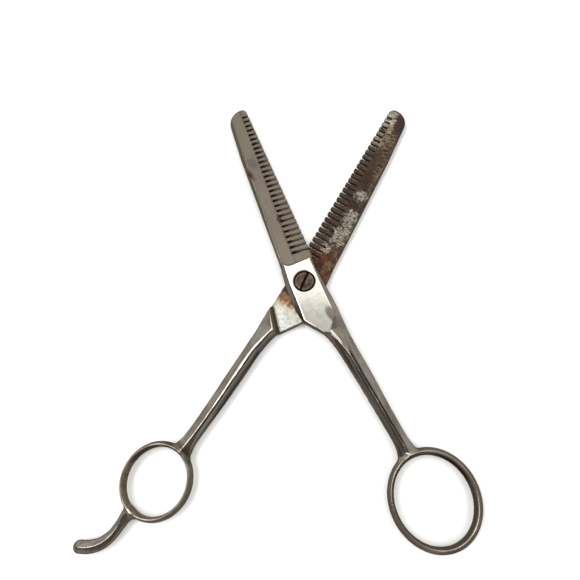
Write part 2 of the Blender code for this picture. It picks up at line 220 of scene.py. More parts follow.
# Light of the room: axis, where it starts and ends along it, how strong it gets, colour
WORLD_STEPS = [
    ("Y", -0.15, 0.65, 1.0, (0.60, 0.585, 0.56, 1.0)),
    ("Z", 0.5, 0.1, 0.6, (0.47, 0.448, 0.414, 1.0)),
    ("Z", 0.0, -0.7, 0.75, (0.09, 0.075, 0.058, 1.0)),
]
CAMERA_LENS = 32.28
CAMERA_SENSOR = 36.0
CAMERA_PLACE = (17.02, -58.63, 166.64)            # in millimetres
CAMERA_RIGHT = (0.99201, 0.04108, -0.11925)
CAMERA_BACK = (0.12612, -0.32311, 0.93792)


# Fields of distances

def meet(a, b, radius):
    """The overlap of two fields, with the edge between them rounded."""
    reach = np.hypot(np.maximum(radius + a, 0.0), np.maximum(radius + b, 0.0))
    return np.minimum(-radius, np.maximum(a, b)) + reach


def join(a, b, radius):
    """Both fields together, with a fillet between them."""
    return -meet(-a, -b, radius)


def carve(a, b, radius):
    """The first field without the second, with a rounded rim."""
    return meet(a, -b, radius)


def beyond(x, y, start, end):
    """Distance to the right of the line from start to end."""
    run = end[0] - start[0]
    rise = end[1] - start[1]
    return ((x - start[0]) * rise - (y - start[1]) * run) / math.hypot(run, rise)


def smooth_step(x, low, high):
    share = np.clip((x - low) / (high - low), 0.0, 1.0)
    return share * share * (3.0 - 2.0 * share)


def sections_along(v, table):
    """Each column of a section table at every v, smoothed along the shank."""
    rows = np.array(table[::-1])
    fine = np.arange(v.min() - 2 * SMOOTH_REACH, v.max() + 2 * SMOOTH_REACH, SECTION_STEP)
    reach = np.arange(-SMOOTH_REACH, SMOOTH_REACH + SECTION_STEP / 2, SECTION_STEP)
    weights = np.exp(-0.5 * (reach / SMOOTH_LENGTH) ** 2)
    weights /= weights.sum()
    share = smooth_step(-v, -SMOOTH_SHANK_V[0], -SMOOTH_SHANK_V[1])
    columns = []
    for column in range(1, rows.shape[1]):
        raw = np.interp(fine, rows[:, 0], rows[:, column])
        soft = np.convolve(np.pad(raw, len(reach) // 2, mode="edge"), weights, mode="valid")
        columns.append(np.interp(v, fine, raw) * (1.0 - share) + np.interp(v, fine, soft) * share)
    return columns


def forged_bar(u, v, w, table):
    """Blade, ricasso and shank before anything is cut from them."""
    left, flat_left, flat_right, right, height, foot = sections_along(v, table)
    rise = np.abs(w)
    drop = height - foot
    left_run = flat_left - left
    right_run = right - flat_right
    camber = SHANK_CAMBER * smooth_step(-v, -CAMBER_V[0], -CAMBER_V[1])
    camber = camber * np.maximum(1.0 - (2.0 * (rise - foot) / drop - 1.0) ** 2, 0.0)
    left_bevel = ((left - u) * drop + (rise - foot) * left_run) / np.hypot(drop, left_run) - camber
    right_bevel = ((u - right) * drop + (rise - foot) * right_run) / np.hypot(drop, right_run) - camber
    bevels = meet(left_bevel, right_bevel, BEVEL_R)
    solid = meet(bevels, rise - height, BEVEL_R)
    tip = v - TIP_V
    outline = np.maximum(meet(left - u, tip, TIP_SPINE_R), meet(u - right, tip, TIP_CORNER_R))
    outline = np.maximum(outline, table[-1][0] - v)
    return meet(solid, outline, OUTLINE_R)


def shoulder_step(u, v, w):
    """The other half's side of the pivot, down to the sloping shoulder across the shank."""
    across = beyond(u, v, STEP_START, STEP_END)
    side = (across * STEP_FALL - (w - INNER_W) * STEP_RUN) / math.hypot(STEP_FALL, STEP_RUN)
    return meet(w - INNER_W, -side, SHOULDER_ROOT_R)


def recess(u, v, w):
    """The milled recess of the comb zone on the outer face."""
    rim_v, rim_u = zip(*RECESS_RIM)
    plan = meet(np.interp(v, rim_v, rim_u) - u, SHOULDER_V - v, RECESS_CORNER_R)
    floor = RECESS_FLOOR - RECESS_FALL * (v - SHOULDER_V)
    return meet(plan, floor - w, RECESS_ROOT_R)


def comb_slots(u, v, tilt):
    """All the slots between the teeth, each with a round inner end."""
    turn = math.radians(tilt)
    drift = v - FIRST_SLOT_V - (u - EDGE_U) * math.tan(turn)
    number = np.clip(np.round(drift / TOOTH_PITCH), 0, SLOT_COUNT - 1)
    across = (drift - number * TOOTH_PITCH) * math.cos(turn)
    middle_v = FIRST_SLOT_V + number * TOOTH_PITCH
    along = (u - EDGE_U) * math.cos(turn) + (v - middle_v) * math.sin(turn)
    start = ROOT_SLOT_U + (TIP_SLOT_U - ROOT_SLOT_U) * number / (SLOT_COUNT - 1) - EDGE_U
    radius = SLOT_WIDTH / 2
    return np.hypot(np.minimum(along - start - radius, 0.0), across) - radius


def bow(u, v, w, place):
    """An oval ring with a crest on each face, and the opening inside it."""
    center_u, center_v, half_width, half_length, tilt, band, shift = place
    turn = math.radians(tilt)
    x = (u - center_u) * math.cos(turn) + (v - center_v) * math.sin(turn)
    y = (v - center_v) * math.cos(turn) - (u - center_u) * math.sin(turn)
    reach = np.hypot(x / half_width, y / half_length) + 1e-6
    steep_x = x / half_width ** 2
    steep_y = y / half_length ** 2
    steepness = np.hypot(steep_x, steep_y) + 1e-6
    width = band + shift * steep_x / steepness
    out = (reach - 1.0) * reach / steepness * band / width
    corners = [(share * band, height) for share, height in
               (BOW_OUTER, BOW_SHOULDER, BOW_CREST, BOW_WALL_TOP, BOW_WALL)]
    rise = np.abs(w)
    sides = [beyond(out, rise, start, end) for start, end in zip(corners, corners[1:])]
    outer = meet(sides[0], sides[1], BOW_OUTER_R)
    inner = meet(sides[2], sides[3], BOW_INNER_R)
    return meet(outer, inner, BOW_CREST_R), -sides[3]


def curve_through(points, per_span):
    """Points on a smooth curve through the given ones."""
    rows = np.array([points[0]] + list(points) + [points[-1]])
    drawn = []
    for first, start, end, last in zip(rows, rows[1:], rows[2:], rows[3:]):
        for t in np.arange(per_span) / per_span:
            drawn.append(0.5 * (2 * start + (end - first) * t
                                + (2 * first - 5 * start + 4 * end - last) * t ** 2
                                + (3 * start - first - 3 * end + last) * t ** 3))
    drawn.append(rows[-1])
    return np.array(drawn)


def tang(u, v, w):
    """The finger rest: a curved bar with a ridge along each face and a round end."""
    nearest = np.full(np.broadcast(u, v).shape, 1e3)
    radius = np.ones(nearest.shape)
    for point_u, point_v, point_radius in curve_through(TANG_PATH, TANG_POINTS):
        distance = np.hypot(u - point_u, v - point_v)
        closer = distance < nearest
        nearest = np.where(closer, distance, nearest)
        radius = np.where(closer, point_radius, radius)
    side = nearest - radius
    crest = np.hypot(nearest, TANG_RIDGE_R) - radius
    above_edge = np.abs(w) - TANG_EDGE * radius
    facet = (crest * TANG_SLOPE + above_edge) / math.hypot(TANG_SLOPE, 1.0)
    facet = meet(facet, above_edge - TANG_SLOPE * radius + TANG_FLAT, TANG_FLAT_R)
    return meet(side, facet, TANG_SIDE_R)


def half_field(u, v, w, table, bow_place, slot_tilt, with_tang, with_counterbore):
    field = forged_bar(u, v, w, table)
    ring, opening = bow(u, v, w, bow_place)
    field = join(field, ring, BOW_FILLET_R)
    if with_tang:
        field = join(field, tang(u, v, w), TANG_FILLET_R)
    field = carve(field, opening, OUTLINE_R)
    at_bow = smooth_step(-v, -BOW_TOP_V[0], -BOW_TOP_V[1])
    limit = ABOVE_SHANK + (BOW_TOP - ABOVE_SHANK) * at_bow
    field = meet(field, np.abs(w) - limit, BOW_TOP_R)
    field = carve(field, shoulder_step(u, v, w), SHOULDER_EDGE_R)
    field = carve(field, recess(u, v, w), RECESS_EDGE_R)
    field = carve(field, comb_slots(u, v, slot_tilt), SLOT_EDGE_R)
    from_axis = np.hypot(u, v)
    field = carve(field, from_axis - BORE_R, BORE_EDGE_R)
    if with_counterbore:
        seat = meet(from_axis - COUNTERBORE_R, COUNTERBORE_FLOOR - w, BORE_EDGE_R)
        field = carve(field, seat, COUNTERBORE_EDGE_R)
    return field


def screw_field(x, y, z):
    """A slotted cheese head on a plain shank, with worn edges."""
    from_axis = np.hypot(x, y)
    crown = SCREW_CROWN * (from_axis / SCREW_HEAD_R) ** 2
    head = meet(from_axis - SCREW_HEAD_R, z - SCREW_HEAD_TOP + crown, SCREW_HEAD_EDGE_R)
    head = meet(head, SCREW_HEAD_UNDERSIDE - z, BORE_EDGE_R)
    shank = meet(from_axis - SCREW_SHANK_R, -z, SCREW_SHANK_EDGE_R)
    shank = np.maximum(shank, z - SCREW_HEAD_UNDERSIDE - SCREW_OVERLAP)
    field = join(head, shank, SCREW_NECK_R)
    turn = math.radians(SCREW_SLOT_ANGLE)
    across = y * math.cos(turn) - x * math.sin(turn)
    floor = SCREW_HEAD_TOP - SCREW_SLOT_DEPTH
    slot = meet(np.abs(across) - SCREW_SLOT_WIDTH / 2, floor - z, SCREW_SLOT_ROOT_R)
    return carve(field, slot, SCREW_SLOT_EDGE_R)


# From field to mesh

CORNERS = np.array([(a, b, c) for a in (0, 1) for b in (0, 1) for c in (0, 1)])
CELL_EDGES = [(first, second) for first in CORNERS for second in CORNERS
              if (second - first).sum() == 1 and (second >= first).all()]


def net_points(field):
    """One point in each cell that the surface passes through, and each cell's number."""
    inside = field < 0.0
    count = np.zeros(tuple(n - 1 for n in field.shape), np.int8)
    for a, b, c in CORNERS:
        count += inside[a:a + count.shape[0], b:b + count.shape[1], c:c + count.shape[2]]
    crossed = (count > 0) & (count < len(CORNERS))
    cells = np.argwhere(crossed)
    number = np.full(crossed.shape, -1, np.int64)
    number[crossed] = np.arange(len(cells))
    total = np.zeros(cells.shape)
    hits = np.zeros(len(cells))
    for first, second in CELL_EDGES:
        near = field[tuple((cells + first).T)]
        far = field[tuple((cells + second).T)]
        hit = (near < 0.0) != (far < 0.0)
        share = near[hit] / (near[hit] - far[hit])
        total[hit] += cells[hit] + first + share[:, None] * (second - first)
        hits[hit] += 1
    return total / hits[:, None], number


def net_faces(field, number):
    """A four-sided face round each grid edge that the surface crosses."""
    inside = field < 0.0
    faces = []
    for axis in range(3):
        turned = np.moveaxis(inside, axis, 0)
        cells = np.moveaxis(number, axis, 0)
        enters = turned[:-1, 1:-1, 1:-1]
        leaves = turned[1:, 1:-1, 1:-1]
        i, j, k = np.nonzero(enters != leaves)
        ring = np.stack([cells[i, j, k], cells[i, j + 1, k], cells[i, j + 1, k + 1],
                         cells[i, j, k + 1]], axis=1)
        outward = enters[i, j, k]
        if axis == 1:
            outward = ~outward
        ring[~outward] = ring[~outward][:, ::-1]
        faces.append(ring)
    return np.concatenate(faces)


def piece_from_field(name, box, step, shape):
    """A mesh object whose surface is where shape(x, y, z) is zero, inside the box."""
    axes = [np.arange(low, high + step, step, dtype=np.float32) for low, high in zip(*box)]
    x = axes[0][:, None, None]
    y = axes[1][None, :, None]
    z = axes[2][None, None, :]
    field = shape(x, y, z).astype(np.float32)
    points, number = net_points(field)
    faces = net_faces(field, number)
    mesh = bpy.data.meshes.new(name)
    mesh.vertices.add(len(points))
    mesh.vertices.foreach_set("co", ((points * step + np.array(box[0])) * MM).astype(np.float32).ravel())
    mesh.loops.add(faces.size)
    mesh.loops.foreach_set("vertex_index", faces.astype(np.int32).ravel())
    mesh.polygons.add(len(faces))
    mesh.polygons.foreach_set("loop_start", np.arange(0, faces.size, 4, dtype=np.int32))
    mesh.polygons.foreach_set("use_smooth", np.ones(len(faces), bool))
    mesh.update(calc_edges=True)
    mesh.validate()
    piece = bpy.data.objects.new(name, mesh)
    bpy.context.scene.collection.objects.link(piece)
    return piece


# Materials

def srgb(red, green, blue):
    """A colour given as 0 to 255 screen values, made linear."""
    channels = []
    for value in (red, green, blue):
        share = value / 255.0
        channels.append(share / 12.92 if share <= 0.04045 else ((share + 0.055) / 1.055) ** 2.4)
    return (*channels, 1.0)


class Painter:
    """Builds the nodes of one material.  Places are in millimetres, in the piece's own frame,
    which is raised by lift, turned by angle degrees about Z and may be turned over."""

    def __init__(self, name, lift=0.0, angle=0.0, turned_over=False):
        self.material = bpy.data.materials.new(name)
        self.material.use_nodes = True
        self.tree = self.material.node_tree
        self.shader = self.tree.nodes["Principled BSDF"]
        self.shader.inputs["Specular IOR Level"].default_value = 0.25
        coordinates = self.node("ShaderNodeTexCoord")
        turn = (0.0, math.pi if turned_over else 0.0, math.radians(angle))
        own_frame = []
        for output, low, unit in (("Object", lift * MM, MM), ("Normal", 0.0, 1.0)):
            mapping = self.node("ShaderNodeMapping")
            mapping.vector_type = "TEXTURE"
            mapping.inputs["Location"].default_value = (0.0, 0.0, low)
            mapping.inputs["Rotation"].default_value = turn
            mapping.inputs["Scale"].default_value = (unit, unit, unit)
            self.feed(coordinates.outputs[output], mapping.inputs["Vector"])
            own_frame.append(mapping.outputs[0])
        self.place = own_frame[0]
        self.u, self.v, self.w = self.split(self.place)
        self.facing = self.split(own_frame[1])

    def node(self, kind):
        return self.tree.nodes.new(kind)

    def feed(self, value, socket):
        if isinstance(value, bpy.types.NodeSocket):
            self.tree.links.new(value, socket)
        else:
            socket.default_value = value

    def split(self, vector):
        parts = self.node("ShaderNodeSeparateXYZ")
        self.feed(vector, parts.inputs[0])
        return parts.outputs

    def vector(self, operation, first, second=(0.0, 0.0, 0.0)):
        node = self.node("ShaderNodeVectorMath")
        node.operation = operation
        self.feed(first, node.inputs[0])
        self.feed(second, node.inputs[1])
        return node.outputs["Value"] if operation == "LENGTH" else node.outputs["Vector"]

    def math(self, operation, first, second=0.0):
        node = self.node("ShaderNodeMath")
        node.operation = operation
        self.feed(first, node.inputs[0])
        self.feed(second, node.inputs[1])
        return node.outputs[0]

    def ramp(self, value, start, end, low=0.0, high=1.0):
        """Goes smoothly from low to high as value goes from start to end."""
        node = self.node("ShaderNodeMapRange")
        node.interpolation_type = "SMOOTHSTEP"
        flipped = start > end
        self.feed(value, node.inputs["Value"])
        node.inputs["From Min"].default_value = min(start, end)
        node.inputs["From Max"].default_value = max(start, end)
        node.inputs["To Min"].default_value = high if flipped else low
        node.inputs["To Max"].default_value = low if flipped else high
        return node.outputs[0]

    def noise(self, size, detail=4.0, rough=0.6, stretch=(1.0, 1.0, 1.0), shift=0.0):
        """Noise from 0 to 1 whose lumps are about size millimetres."""
        mapping = self.node("ShaderNodeMapping")
        self.feed(self.place, mapping.inputs["Vector"])
        mapping.inputs["Location"].default_value = (shift, shift * 0.7, shift * 1.3)
        mapping.inputs["Scale"].default_value = tuple(1.0 / (size * along) for along in stretch)
        texture = self.node("ShaderNodeTexNoise")
        texture.inputs["Scale"].default_value = 1.0
        texture.inputs["Detail"].default_value = detail
        texture.inputs["Roughness"].default_value = rough
        self.feed(mapping.outputs[0], texture.inputs["Vector"])
        return texture.outputs["Fac"]

    def patch(self, center, half_size, tilt=0.0, ragged=0.5, soft=0.15, grain=1.0, shift=0.0):
        """1 inside a ragged oval, 0 outside it."""
        mapping = self.node("ShaderNodeMapping")
        mapping.vector_type = "TEXTURE"
        self.feed(self.place, mapping.inputs["Vector"])
        mapping.inputs["Location"].default_value = (center[0], center[1], 0.0)
        mapping.inputs["Rotation"].default_value = (0.0, 0.0, math.radians(tilt))
        mapping.inputs["Scale"].default_value = (half_size[0], half_size[1], 1e6)
        length = self.vector("LENGTH", mapping.outputs[0])
        uneven = self.math("MULTIPLY", self.math("SUBTRACT", self.noise(grain, shift=shift), 0.5),
                           2.0 * ragged)
        distance = self.math("ADD", length, uneven)
        return self.ramp(distance, 1.0 + soft, 1.0 - soft)

    def beyond(self, start, end):
        """Distance to the right of the line from start to end, both given as (u, v)."""
        run = end[0] - start[0]
        rise = end[1] - start[1]
        length = math.hypot(run, rise)
        along_u = self.math("MULTIPLY", self.u, rise / length)
        along_v = self.math("MULTIPLY", self.v, -run / length)
        offset = (start[1] * run - start[0] * rise) / length
        return self.math("ADD", along_u, self.math("ADD", along_v, offset))

    def line_u(self, start, end):
        """U of the line through start and end, both given as (v, u), at each V."""
        slope = (end[1] - start[1]) / (end[0] - start[0])
        return self.math("ADD", self.math("MULTIPLY", self.v, slope), start[1] - slope * start[0])

    def mix(self, share, first, second):
        node = self.node("ShaderNodeMix")
        node.data_type = "RGBA"
        self.feed(share, node.inputs["Factor"])
        self.feed(first, node.inputs[6])
        self.feed(second, node.inputs[7])
        return node.outputs[2]

    def blend(self, share, first, second):
        """A number that goes from first to second with share."""
        node = self.node("ShaderNodeMix")
        node.data_type = "FLOAT"
        self.feed(share, node.inputs["Factor"])
        self.feed(first, node.inputs[2])
        self.feed(second, node.inputs[3])
        return node.outputs[0]

    def both(self, *shares):
        result = shares[0]
        for share in shares[1:]:
            result = self.math("MULTIPLY", result, share)
        return result

    def either(self, *shares):
        result = shares[0]
        for share in shares[1:]:
            result = self.math("MAXIMUM", result, share)
        return result

    def opposite(self, share):
        return self.math("SUBTRACT", 1.0, share)

    def finish(self, color, metallic, roughness, height, bump_mm):
        self.feed(color, self.shader.inputs["Base Color"])
        self.feed(metallic, self.shader.inputs["Metallic"])
        self.feed(roughness, self.shader.inputs["Roughness"])
        bump = self.node("ShaderNodeBump")
        bump.inputs["Strength"].default_value = 1.0
        bump.inputs["Distance"].default_value = bump_mm * MM
        self.feed(height, bump.inputs["Height"])
        self.feed(bump.outputs[0], self.shader.inputs["Normal"])
        return self.material


def steel_zones(p):
    """Shares that both halves use: inner face, blade, milled comb floor, the rim beside it,
    polished flat and slot walls."""
    inner = p.ramp(p.w, 0.45, 0.2)
    in_blade = p.ramp(p.v, 6.9, 7.4)
    fall = p.math("MULTIPLY", p.math("SUBTRACT", p.v, SHOULDER_V), RECESS_FALL)
    above_floor = p.math("SUBTRACT", p.math("ADD", p.w, fall), RECESS_FLOOR)
    milled = p.both(p.ramp(above_floor, 0.16, 0.08), in_blade, p.opposite(inner),
                    p.ramp(p.facing[2], 0.5, 0.8))
    flat = p.both(p.ramp(p.w, 2.6, 2.68), p.ramp(p.v, 14.0, 9.0), p.ramp(p.v, -25.0, -23.0),
                  p.ramp(p.facing[2], 0.97, 0.99))
    rim = p.both(p.ramp(p.v, 9.0, 15.0), p.opposite(inner), p.opposite(milled),
                 p.ramp(p.facing[2], 0.6, 0.9))
    steep = p.math("ABSOLUTE", p.facing[1])
    slots = p.both(p.ramp(steep, 0.35, 0.6), p.ramp(p.v, 9.5, 9.9), p.ramp(p.v, 73.0, 72.6),
                   p.ramp(p.u, -0.9, -0.6))
    return inner, in_blade, milled, rim, flat, slots


def nickel(p):
    """Old nickel plate: warm grey, slightly cloudy, with fine polishing lines along V."""
    cloud = p.noise(7.0, 5.0, 0.6)
    speck = p.noise(0.35, 3.0, 0.7, shift=5.0)
    color = p.mix(p.ramp(cloud, 0.35, 0.7), srgb(190, 183, 174), srgb(164, 155, 146))
    color = p.mix(p.ramp(speck, 0.68, 0.8, 0.0, 0.5), color, srgb(96, 80, 66))
    lines = p.noise(0.12, 2.0, 0.5, stretch=(1.0, 40.0, 1.0), shift=2.0)
    roughness = p.math("ADD", p.ramp(cloud, 0.3, 0.75, 0.10, 0.22),
                       p.math("MULTIPLY", p.math("SUBTRACT", lines, 0.5), 0.06))
    bows = p.both(p.ramp(p.v, -58.0, -66.0), p.ramp(p.v, -90.0, -88.0))
    color = p.mix(bows, color, p.mix(p.ramp(cloud, 0.35, 0.7), srgb(214, 205, 192), srgb(182, 171, 156)))
    streaks = p.both(p.ramp(p.noise(0.7, 3.0, 0.6, stretch=(1.0, 40.0, 1.0), shift=15.0), 0.5, 0.62),
                     p.ramp(p.v, -19.0, -24.0), p.opposite(bows))
    color = p.mix(p.math("MULTIPLY", streaks, 0.55), color, srgb(104, 92, 80))
    grooves = p.noise(0.5, 2.0, 0.5, stretch=(1.0, 50.0, 1.0), shift=12.0)
    grooves = p.both(grooves, p.ramp(p.v, -19.0, -24.0), p.opposite(bows))
    lines = p.math("ADD", lines, p.math("MULTIPLY", grooves, 4.0))
    return color, roughness, lines, speck


def polish_height(p, lines, speck):
    """Height of the clean plate: faint polishing lines and specks."""
    return p.math("ADD", p.math("MULTIPLY", lines, 0.05), p.math("MULTIPLY", speck, 0.04))


def shank_line(p, start_u, slope, half_width):
    """A ragged stripe along the shank, on the line u = start_u + slope * v."""
    line_u = p.math("ADD", p.math("MULTIPLY", p.v, slope), start_u)
    from_line = p.math("ABSOLUTE", p.math("SUBTRACT", p.u, line_u))
    uneven = p.math("MULTIPLY", p.noise(1.2, 3.0, 0.6, stretch=(1.0, 5.0, 1.0), shift=44.0), half_width)
    return p.both(p.ramp(p.math("ADD", from_line, uneven), half_width * 1.5, half_width * 0.8),
                  p.ramp(p.v, -25.5, -28.5), p.ramp(p.v, -61.0, -57.0))


def comb_floor(p, color, roughness, milled, rim):
    """Dull, uneven brown-grey on the thumb half's comb floor, and the rim along its spine."""
    broad = p.noise(11.0, 3.0, 0.5, shift=9.0)
    fine = p.noise(0.5, 5.0, 0.7, shift=3.0)
    dull = p.mix(p.ramp(broad, 0.35, 0.65), srgb(138, 131, 117), srgb(134, 123, 114))
    dull = p.mix(p.ramp(p.v, 50.0, 66.0, 0.0, 0.6), dull, srgb(138, 133, 115))
    dull = p.mix(p.ramp(fine, 0.35, 0.75, 0.0, 0.35), dull, srgb(112, 102, 88))
    smudge_and_reflection = p.patch((0.2, 50.8), (1.7, 2.4), 20.0, 0.6, 0.5, 1.5)
    dull = p.mix(p.math("MULTIPLY", smudge_and_reflection, 0.55), dull, srgb(98, 94, 93))
    color = p.mix(milled, color, dull)
    rim_color = p.mix(p.ramp(fine, 0.35, 0.7), srgb(182, 176, 162), srgb(140, 132, 118))
    color = p.mix(rim, color, p.mix(p.ramp(p.v, 40.0, 52.0), rim_color, dull))
    return color, p.blend(p.either(milled, rim), roughness, p.ramp(fine, 0.3, 0.8, 0.42, 0.58))


def thumb_bow_painted_shade(p, color):
    """Painted shade on the inner wall of the thumb's bow, darkest on its upper outer side."""
    center_u, center_v, half_width, half_length, tilt = THUMB_BOW[:5]
    # painted shade: the inner wall made darker brown all round
    wall = p.patch((center_u, center_v), (half_width + 0.7, half_length + 0.7), tilt, 0.0, 0.01)
    color = p.mix(p.math("MULTIPLY", wall, 0.75), color, srgb(112, 98, 84))
    # painted shade: darker still on the upper outer side of the wall
    shaded_side = p.patch((center_u + 8.0, center_v + 6.0), (5.0, 6.0), tilt, 0.2, 0.3, 2.0)
    return p.mix(p.both(wall, shaded_side), color, srgb(62, 50, 44))


def polished_flat(p, color, roughness, flat):
    """The bright flat round the screw, with a dull brownish patch at its lower edge that is a painted
    reflection of the flat curving up into the shank.
    """
    bright = p.mix(p.ramp(p.noise(2.2, 4.0, 0.6, shift=7.0), 0.4, 0.75), srgb(219, 217, 208),
                   srgb(209, 205, 195))
    color = p.mix(flat, color, bright)
    roughness = p.blend(flat, roughness, p.ramp(p.noise(3.0, 4.0, 0.6), 0.3, 0.7, 0.08, 0.14))
    # painted reflection: a dull brownish patch where the flat curves up into the shank
    smudge_and_reflection = p.both(p.patch((3.8, -14.0), (1.5, 3.0), 10.0, 0.15, 0.3, 1.2), flat)
    return p.mix(p.math("MULTIPLY", smudge_and_reflection, 0.85), color, srgb(128, 118, 108)), roughness


def thumb_shank_marks(p, color, roughness, flat):
    """Dirt beside the shank's ridge, painted shade on the lower part of the ricasso's bevel, and a pale
    streak on a facet that is a painted highlight.
    """
    ridge_dirt = shank_line(p, 1.3, -0.103, 0.45)
    color = p.mix(p.math("MULTIPLY", ridge_dirt, 0.95), color, srgb(46, 39, 34))
    roughness = p.blend(ridge_dirt, roughness, 0.7)
    # painted highlight: a pale streak on the facet beside the ridge
    painted_highlight_streak = p.math("MULTIPLY", shank_line(p, -0.05, -0.103, 0.4), 0.5)
    color = p.mix(painted_highlight_streak, color, srgb(214, 208, 200))
    roughness = p.blend(painted_highlight_streak, roughness, 0.4)
    # painted shade on the lower part of the ricasso's bevel
    bevel_painted_shade = p.both(p.patch((-5.9, -10.5), (1.0, 4.5), 0.0, 0.5, 0.4, 1.0), p.opposite(flat))
    return p.mix(p.math("MULTIPLY", bevel_painted_shade, 0.7), color, srgb(84, 72, 62)), roughness


def thumb_rust(p, color, inner, in_blade, milled, slots):
    """Painted shade round the slots' inner ends, stains and rust, and slot walls with painted shade at
    their roots and a painted reflection towards the tips.  Gives the colour and the rust's share.
    """
    slot_root = p.ramp(p.v, 10.0, 72.0, ROOT_SLOT_U + 0.2, TIP_SLOT_U + 0.2)
    from_root = p.math("ABSOLUTE", p.math("SUBTRACT", p.u, slot_root))
    # painted shade round the slots' inner ends on the comb floor
    slot_root_shade = p.both(p.ramp(from_root, 0.7, 0.1), p.ramp(p.noise(1.1, 3.0, 0.6, shift=41.0), 0.35, 0.6),
                   milled)
    color = p.mix(p.math("MULTIPLY", slot_root_shade, 0.5), color, srgb(74, 60, 46))
    shoulder_stain = p.both(p.patch((4.6, 8.9), (2.6, 1.0), 0.0, 0.6, 0.4, 0.8), milled)
    color = p.mix(p.math("MULTIPLY", shoulder_stain, 0.4), color, srgb(142, 112, 74))
    spine_rust = p.patch((-2.5, 46.8), (0.6, 2.3), 8.0, 0.5, 0.3, 0.9)
    halo = p.patch((-1.9, 46.2), (0.7, 2.6), 8.0, 0.6, 0.5, 0.9)
    root_rust = p.patch((0.8, 25.0), (0.8, 1.8), 0.0, 0.6, 0.4, 0.7)
    slot_rust = p.both(slots, p.ramp(p.noise(1.5, 3.0, 0.6, shift=1.0), 0.2, 0.4, 0.75, 1.0))
    outside = p.opposite(inner)
    scattered = p.both(p.ramp(p.noise(2.6, 6.0, 0.75, shift=21.0), 0.70, 0.76), outside,
                       p.ramp(p.v, 6.0, 8.0))
    rust = p.either(p.both(spine_rust, outside), p.both(root_rust, milled), slot_rust,
                    p.both(inner, in_blade), scattered)
    color = p.mix(p.both(halo, outside, p.opposite(spine_rust)), color, srgb(112, 94, 70))
    rust_color = p.mix(p.ramp(p.noise(0.8, 5.0, 0.7, shift=4.0), 0.35, 0.7), srgb(52, 36, 24),
                       srgb(92, 60, 38))
    # slot walls: dark rust with painted shade at their inner ends, a paler painted reflection towards
    # the tips
    slot_wall_shade_and_reflection = p.mix(p.ramp(p.math("SUBTRACT", p.u, slot_root), 0.8, 3.0), srgb(40, 30, 20),
                       srgb(124, 112, 98))
    return p.mix(rust, color, p.mix(slot_rust, rust_color, slot_wall_shade_and_reflection)), rust


def thumb_steel():
    p = Painter("worn_nickel_plate", MID_HEIGHT, THUMB_ANGLE)
    inner, in_blade, milled, rim, flat, slots = steel_zones(p)
    color, roughness, lines, speck = nickel(p)
    color, roughness = comb_floor(p, color, roughness, milled, rim)
    color = thumb_bow_painted_shade(p, color)
    color, roughness = polished_flat(p, color, roughness, flat)
    color, roughness = thumb_shank_marks(p, color, roughness, flat)
    color, rust = thumb_rust(p, color, inner, in_blade, milled, slots)
    roughness = p.blend(rust, roughness, 0.75)
    pits = p.noise(0.45, 5.0, 0.75, shift=8.0)
    height = p.blend(rust, polish_height(p, lines, speck), pits)
    return p.finish(color, p.blend(rust, 1.0, 0.15), roughness, height, 0.08)


def finger_outer_face(p, color, roughness, milled, rim, flat):
    """Dull comb floor and polished flat of the finger half, on the side that lies underneath."""
    dull = p.mix(p.ramp(p.noise(0.6, 5.0, 0.7, shift=3.0), 0.35, 0.75), srgb(146, 136, 120),
                 srgb(110, 98, 82))
    dull_share = p.either(milled, rim)
    color = p.mix(flat, p.mix(dull_share, color, dull), srgb(222, 214, 198))
    return color, p.blend(flat, p.blend(dull_share, roughness, 0.5), 0.18)


def finger_shank_marks(p, color, roughness):
    """Dirt beside the shank's ridge and along its lower edge, with a pale painted highlight streak
    between.
    """
    dirt = p.either(shank_line(p, 0.95, -0.068, 0.2), shank_line(p, -0.2, -0.062, 0.25))
    color = p.mix(p.math("MULTIPLY", dirt, 0.8), color, srgb(70, 62, 55))
    # painted highlight: a pale streak between the two dirt lines
    painted_highlight_streak = shank_line(p, 0.5, -0.065, 0.35)
    return p.mix(painted_highlight_streak, color, srgb(226, 223, 219)), p.blend(painted_highlight_streak, roughness, 0.5)


def finger_bow_painted_light(p, color, roughness):
    """Pale olive painted reflection of the lit floor on the inner wall of the finger's bow, with painted
    shade on its upper outer side, and a top darkened as painted shade.
    """
    center_u, center_v, half_width, half_length, tilt = FINGER_BOW[:5]
    wall = p.patch((center_u, center_v), (half_width + 0.6, half_length + 0.6), tilt, 0.0, 0.01)
    # painted reflection of the lit floor: pale olive on the inner wall
    painted_wall_light = p.mix(p.ramp(p.noise(0.8, 4.0, 0.7, shift=33.0), 0.35, 0.7), srgb(216, 207, 182),
                 srgb(160, 147, 122))
    # painted shade on the wall's upper outer side
    shaded_side = p.patch((center_u + 8.0, center_v + 5.5), (4.5, 5.0), tilt, 0.2, 0.3, 2.0)
    painted_wall_light = p.mix(p.math("MULTIPLY", shaded_side, 0.8), painted_wall_light, srgb(96, 80, 72))
    color = p.mix(wall, color, painted_wall_light)
    # painted shade: the bow's top made darker
    painted_shade_top = p.patch((center_u - 1.0, center_v + half_length + 1.0), (6.5, 2.2), tilt, 0.5, 0.4, 2.0)
    color = p.mix(p.math("MULTIPLY", painted_shade_top, 0.8), color, srgb(122, 112, 96))
    return color, p.blend(wall, roughness, 0.35)


